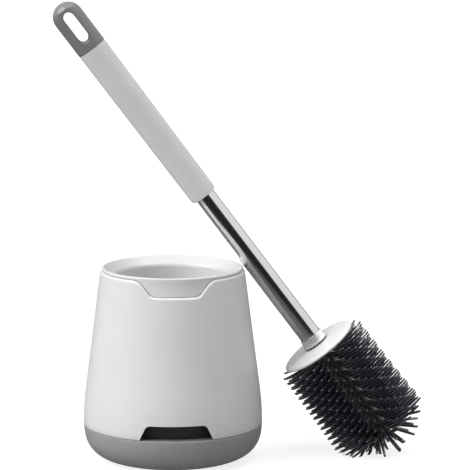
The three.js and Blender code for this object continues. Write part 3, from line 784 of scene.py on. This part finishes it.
def make_bristle(name, length, root, tip, bow):
    """One bristle along X from zero, bowed towards Z, with a blunt rounded tip."""
    bpy.ops.object.select_all(action="DESELECT")
    bpy.ops.mesh.primitive_circle_add(
        vertices=6, radius=root * MM, fill_type="NGON", enter_editmode=True, location=(0, 0, 0),
        rotation=(0, math.pi / 2, 0))
    piece = bpy.context.object
    piece.name = name
    bpy.ops.object.mode_set(mode="OBJECT")
    put(piece, piece.matrix_world.copy())
    bpy.ops.object.mode_set(mode="EDIT")
    bpy.ops.mesh.select_all(action="SELECT")
    stations = [0.0, 0.3, 0.6, 0.85, 0.975, 1.0]
    widths = [root, root + (tip - root) * 0.35, root + (tip - root) * 0.68,
              tip, tip * 0.92, tip * 0.5]
    for before, after, wide, next_wide in zip(stations, stations[1:], widths, widths[1:]):
        step = Vector(((after - before) * length, 0, bow * (after ** 2 - before ** 2))) * MM
        bpy.ops.mesh.extrude_region_move(TRANSFORM_OT_translate={"value": step})
        centre = Vector((after * length, 0, bow * after ** 2)) * MM
        bpy.ops.transform.resize(value=(next_wide / wide,) * 3, center_override=centre)
    close_up()
    return piece


def lay_on_floor(piece):
    """Bends what would pass through the floor outwards along it."""
    lowest, bend = 0.25 * MM, 1.15 * MM
    for vertex in piece.data.vertices:
        deep = 1.4 * MM - vertex.co.z
        if deep > 0:
            vertex.co.z = lowest + bend * math.exp(-deep / bend)


def side_bristles():
    """Rings of bristles down the head, a little longer towards its end."""
    master = make_bristle("bristle_row", 25.2, 1.35, 0.85, 2.2)
    placed = []
    for i in range(BRISTLE_RINGS):
        height = HEAD_TOP - 6.6 - RING_PITCH * i
        reach = 0.98 + 0.075 * (i / (BRISTLE_RINGS - 1)) ** 2
        for j in range(BRISTLES_PER_RING):
            turn = 2 * math.pi * (j + i / 3) / BRISTLES_PER_RING
            bristle = copy_of(master, "bristle")
            bristle.matrix_world = (ON_RIM @ Matrix.Rotation(turn, 4, "Z")
                                    @ Matrix.Translation(Vector((12.3, 0, height)) * MM)
                                    @ Matrix.Rotation(-math.radians(3.5), 4, "Y")
                                    @ Matrix.Diagonal((reach, 1, 1, 1)))
            placed.append(bristle)
    bpy.data.objects.remove(master)
    return placed


def end_bristles(low):
    """Rings of thicker bristles that fan out from the head's end."""
    middle = low + 8
    placed = []
    for degrees, count, shift in END_RINGS:
        polar = math.radians(degrees)
        tip = Vector((END_BRISTLE_REACH * math.sin(polar), 0,
                      middle - (END_REACH + middle) * math.cos(polar)))
        root = Vector((11.0 * math.sin(polar), 0,
                       middle - (middle - low + 2.5) * math.cos(polar)))
        rise = math.atan2(tip.z - root.z, tip.x - root.x)
        spike = make_bristle("end_spike", (tip - root).length, 1.6, 1.05, 0.8)
        for j in range(count):
            turn = 2 * math.pi * (j + shift) / count
            bristle = copy_of(spike, "end_bristle")
            bristle.matrix_world = (ON_RIM @ Matrix.Rotation(turn, 4, "Z")
                                    @ Matrix.Translation(root * MM)
                                    @ Matrix.Rotation(-rise, 4, "Y"))
            placed.append(bristle)
        bpy.data.objects.remove(spike)
    return placed


def make_bristles():
    """The rubber sleeve over the core, with its bristles."""
    low = HEAD_TOP - CORE_LENGTH - GAP
    end = low - 5
    bore = 10.3
    skin = rounded([(12.2, HEAD_TOP, 0), (SLEEVE_RADIUS, HEAD_TOP - 0.6, 0.3),
                    (SLEEVE_RADIUS, low - 0.5, 4), (8.5, end + 0.4, 4), (0.5, end, 0)], 5)
    outline = [(bore, HEAD_TOP), *skin, (0, end), (0, low), (bore, low)]
    sleeve = turned("bristle_sleeve_finish", outline, 48, True)
    put(sleeve, ON_RIM)
    join_into(sleeve, side_bristles() + end_bristles(low))
    lay_on_floor(sleeve)
    hand_over(sleeve, "head", bristle_rubber, "bristle_navy", "bristle_sleeve", angle=60)


make_outer_shell()
make_inner_cup()
make_base_tray()
make_drip_tray()
make_anti_slip_pad()
make_rod_tube()
make_tweezer_sheath()
make_grip_sleeve()
make_end_cap()
make_tweezer_arms()
make_rod_collar()
make_splash_disk()
make_bristles()

for node, material in {
    "threaded_plug": plug_plastic, "head_core": core_plastic, "seal_washer": ring_rubber,
    "retaining_ring": ring_rubber, "arm_rivet": rivet_steel,
}.items():
    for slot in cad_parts[node].material_slots:
        slot.material = material


# ---------- floor, light and camera ----------

def make_floor():
    """A pale floor: white where the camera sees it; in what gloss reflects, a painted reflection,
    dark with a painted glow that is brightest under the holder.
    """
    bpy.ops.object.select_all(action="DESELECT")
    bpy.ops.mesh.primitive_plane_add(size=60, location=(0, 0, 0))
    floor = bpy.context.object
    floor.name = "studio_floor"
    material, tree, shader, place = new_finish("pale studio floor")
    path = tree.nodes.new("ShaderNodeLightPath")
    drift = between(tree, noise(tree, place, 0.8, 2), 0, 1)
    paint = blend_colours(tree, drift, (0.34, 0.34, 0.34), (0.36, 0.36, 0.36))
    # For gloss the floor's colour turns black: a painted dark reflection.
    painted_dark_reflection = tree.nodes.new("ShaderNodeMix")
    painted_dark_reflection.data_type = "RGBA"
    painted_dark_reflection.inputs["B"].default_value = (0, 0, 0, 1)
    link(tree, path.outputs["Is Glossy Ray"], painted_dark_reflection.inputs["Factor"])
    link(tree, paint, painted_dark_reflection.inputs["A"])
    link(tree, painted_dark_reflection.outputs["Result"], shader.inputs["Base Color"])
    away = tree.nodes.new("ShaderNodeVectorMath")
    away.operation = "LENGTH"
    link(tree, place, away.inputs[0])
    # Emission: white for the camera; for gloss a painted glow, 0.2 under the holder fading to 0.025
    # farther out, as a painted reflection.
    white_floor_and_painted_glow = tree.nodes.new("ShaderNodeMix")
    link(tree, path.outputs["Is Glossy Ray"], white_floor_and_painted_glow.inputs["Factor"])
    link(tree, between(tree, path.outputs["Is Camera Ray"], 0, 0.82, 0, 1), white_floor_and_painted_glow.inputs["A"])
    link(tree, between(tree, away.outputs["Value"], 0.2, 0.025, 0.08, 0.45), white_floor_and_painted_glow.inputs["B"])
    link(tree, white_floor_and_painted_glow.outputs["Result"], shader.inputs["Emission Strength"])
    shader.inputs["Emission Color"].default_value = (1, 1, 1, 1)
    shader.inputs["Roughness"].default_value = 0.9
    shader.inputs["Specular IOR Level"].default_value = 0.0
    floor.data.materials.append(material)


def make_sun(name, direction, strength, softness):
    bpy.ops.object.select_all(action="DESELECT")
    bpy.ops.object.light_add(type="SUN", location=Vector(direction) * 2)
    sun = bpy.context.object
    sun.name = name
    sun.data.energy = strength
    sun.data.angle = math.radians(softness)
    sun.rotation_euler = Vector(direction).to_track_quat("Z", "Y").to_euler()


def make_world():
    """An even studio, with a bright wall to the right and a dark front in what gloss reflects."""
    world = bpy.data.worlds.new("studio")
    bpy.context.scene.world = world
    world.use_nodes = True
    tree = world.node_tree
    path = tree.nodes.new("ShaderNodeLightPath")
    way = tree.nodes.new("ShaderNodeTexCoord").outputs["Generated"]

    def facing(direction, start, end):
        along = tree.nodes.new("ShaderNodeVectorMath")
        along.operation = "DOT_PRODUCT"
        along.inputs[1].default_value = Vector(direction).normalized()
        link(tree, way, along.inputs[0])
        return between(tree, along.outputs["Value"], 0, 1, start, end)

    def swap(factor, first, second):
        """The second value where the factor is one, the first where it is nought."""
        node = tree.nodes.new("ShaderNodeMix")
        link(tree, factor, node.inputs["Factor"])
        for socket, value in (("A", first), ("B", second)):
            if isinstance(value, float):
                node.inputs[socket].default_value = value
            else:
                link(tree, value, node.inputs[socket])
        return node.outputs["Result"]

    front = swap(facing((0.05, -1, 0), 0.35, 0.7), 0.42, 0.03)
    right = swap(facing((0.9, 0.04, 0.43), 0.68, 0.75), front, 1.05)
    unlit = swap(path.outputs["Is Glossy Ray"], 0.3, right)
    background = tree.nodes["Background"]
    background.inputs["Color"].default_value = (1, 1, 1, 1)
    link(tree, swap(path.outputs["Is Camera Ray"], unlit, 1.0), background.inputs["Strength"])


def make_camera():
    target = Vector((0.0469, -0.0029, 0.1703))
    back = Vector((-0.0603, -0.9853, 0.1595)).normalized()
    distance = 2.0
    bpy.ops.object.select_all(action="DESELECT")
    bpy.ops.object.camera_add(location=target + back * distance)
    camera = bpy.context.object
    camera.rotation_euler = back.to_track_quat("Z", "Y").to_euler()
    camera.data.lens = 204.2
    camera.data.sensor_width = 36
    camera.data.clip_start = 0.05
    camera.data.clip_end = 100
    bpy.context.scene.camera = camera


make_floor()
make_sun("key_light", (-0.73, -0.25, 0.64), 2.45, 45)
make_sun("top_light", (0.2, -0.2, 0.95), 0.8, 45)
make_sun("right_light", (0.35, 0.15, 0.9), 0.5, 25)
make_world()
make_camera()
bpy.context.scene.view_settings.view_transform = "Standard"
